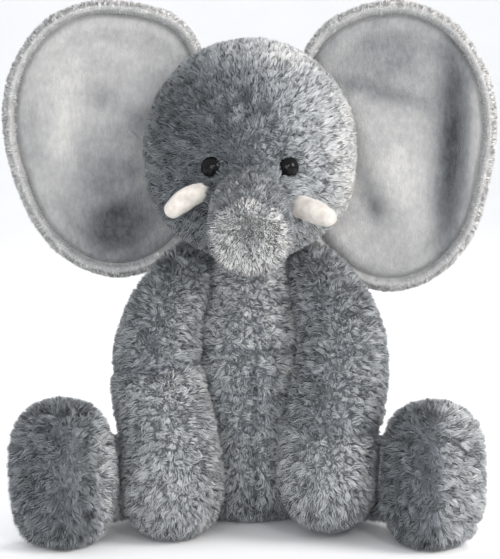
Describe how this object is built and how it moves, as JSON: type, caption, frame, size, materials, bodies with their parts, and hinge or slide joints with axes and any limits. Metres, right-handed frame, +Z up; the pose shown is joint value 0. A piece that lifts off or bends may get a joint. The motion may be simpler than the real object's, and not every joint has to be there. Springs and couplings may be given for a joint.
{
  "type": "stuffed elephant",
  "caption": "Stuffed elephant that sits by itself, with wide lined ears, short felt tusks, a stub trunk, hanging arms and splayed legs.",
  "frame": {"origin": "on the floor, under the middle of the seated toy's bounding box", "axes": "+Z up, the toy faces -Y, its own left side is +X"},
  "size_m": [0.2818, 0.1837, 0.298],
  "materials": {
    "grey_plush": "matte",
    "ear_plush": "matte",
    "ear_velour": "satin",
    "tusk_felt": "matte",
    "polyester_fibre": "matte",
    "bag_cloth": "matte",
    "thread": "satin",
    "eye_plastic": "gloss",
    "washer_plastic": "matte"
  },
  "bodies": {
    "torso": {"torso_skin": "grey_plush", "torso_stuffing": "polyester_fibre", "seat_pellet_bag": "bag_cloth"},
    "neck": {"neck_stitch": "thread"},
    "head": {"head_skin": "grey_plush", "head_stuffing": "polyester_fibre", "eye_left": "eye_plastic", "eye_right": "eye_plastic", "eye_washer_left": "washer_plastic", "eye_washer_right": "washer_plastic", "tusk_left": "tusk_felt", "tusk_right": "tusk_felt", "tusk_stuffing_left": "polyester_fibre", "tusk_stuffing_right": "polyester_fibre"},
    "trunk": {"trunk_skin": "grey_plush", "trunk_stuffing": "polyester_fibre", "trunk_end_panel": "grey_plush"},
    "ear_left": {"ear_back_left": "ear_plush", "ear_wadding_left": "polyester_fibre", "ear_lining_left": "ear_velour"},
    "ear_right": {"ear_back_right": "ear_plush", "ear_wadding_right": "polyester_fibre", "ear_lining_right": "ear_velour"},
    "arm_left": {"arm_skin_left": "grey_plush", "paw_skin_left": "grey_plush", "arm_stuffing_left": "polyester_fibre"},
    "arm_right": {"arm_skin_right": "grey_plush", "paw_skin_right": "grey_plush", "arm_stuffing_right": "polyester_fibre"},
    "leg_left": {"leg_skin_left": "grey_plush", "foot_skin_left": "grey_plush", "leg_stuffing_left": "polyester_fibre", "foot_stuffing_left": "polyester_fibre", "foot_sole_left": "grey_plush"},
    "leg_right": {"leg_skin_right": "grey_plush", "foot_skin_right": "grey_plush", "leg_stuffing_right": "polyester_fibre", "foot_stuffing_right": "polyester_fibre", "foot_sole_right": "grey_plush"},
    "tail": {"tail_strip": "grey_plush", "tail_tuft": "grey_plush"}
  },
  "joints": [
    {"name": "head_nod", "type": "hinge", "parent": "torso", "child": "neck", "pos_m": [0, 0.0195, 0.138], "axis": [1, 0, 0], "range_deg": [-15, 15], "stiffness_Nm_per_rad": 2},
    {"name": "head_turn", "type": "hinge", "parent": "neck", "child": "head", "pos_m": [0, 0.0195, 0.138], "axis": [0, 0, 1], "range_deg": [-35, 35], "stiffness_Nm_per_rad": 0.4},
    {"name": "trunk_lift", "type": "hinge", "parent": "head", "child": "trunk", "pos_m": [0, -0.0355, 0.188], "axis": [-1, 0, 0], "range_deg": [-15, 10], "stiffness_Nm_per_rad": 0.5},
    {"name": "ear_left_flap", "type": "hinge", "parent": "head", "child": "ear_left", "pos_m": [0.05, 0.0255, 0.22], "axis": [0, 0, 1], "range_deg": [-20, 25], "stiffness_Nm_per_rad": 0.15},
    {"name": "ear_right_flap", "type": "hinge", "parent": "head", "child": "ear_right", "pos_m": [-0.05, 0.0255, 0.2205], "axis": [0, 0, -1], "range_deg": [-20, 25], "stiffness_Nm_per_rad": 0.15},
    {"name": "arm_left_swing", "type": "hinge", "parent": "torso", "child": "arm_left", "pos_m": [0.036, 0.0155, 0.143], "axis": [-1, 0, 0], "range_deg": [0, 40]},
    {"name": "arm_right_swing", "type": "hinge", "parent": "torso", "child": "arm_right", "pos_m": [-0.036, 0.0155, 0.143], "axis": [1, 0, 0], "range_deg": [-40, 0]},
    {"name": "leg_left_splay", "type": "hinge", "parent": "torso", "child": "leg_left", "pos_m": [0.0465, 0.0165, 0.0265], "axis": [0, 0, 1], "range_deg": [0, 25]},
    {"name": "leg_right_splay", "type": "hinge", "parent": "torso", "child": "leg_right", "pos_m": [-0.0465, 0.0165, 0.0265], "axis": [0, 0, -1], "range_deg": [0, 25]},
    {"name": "tail_lift", "type": "hinge", "parent": "torso", "child": "tail", "pos_m": [0, 0.0725, 0.046], "axis": [1, 0, 0], "range_deg": [-5, 60], "stiffness_Nm_per_rad": 0.02}
  ]
}
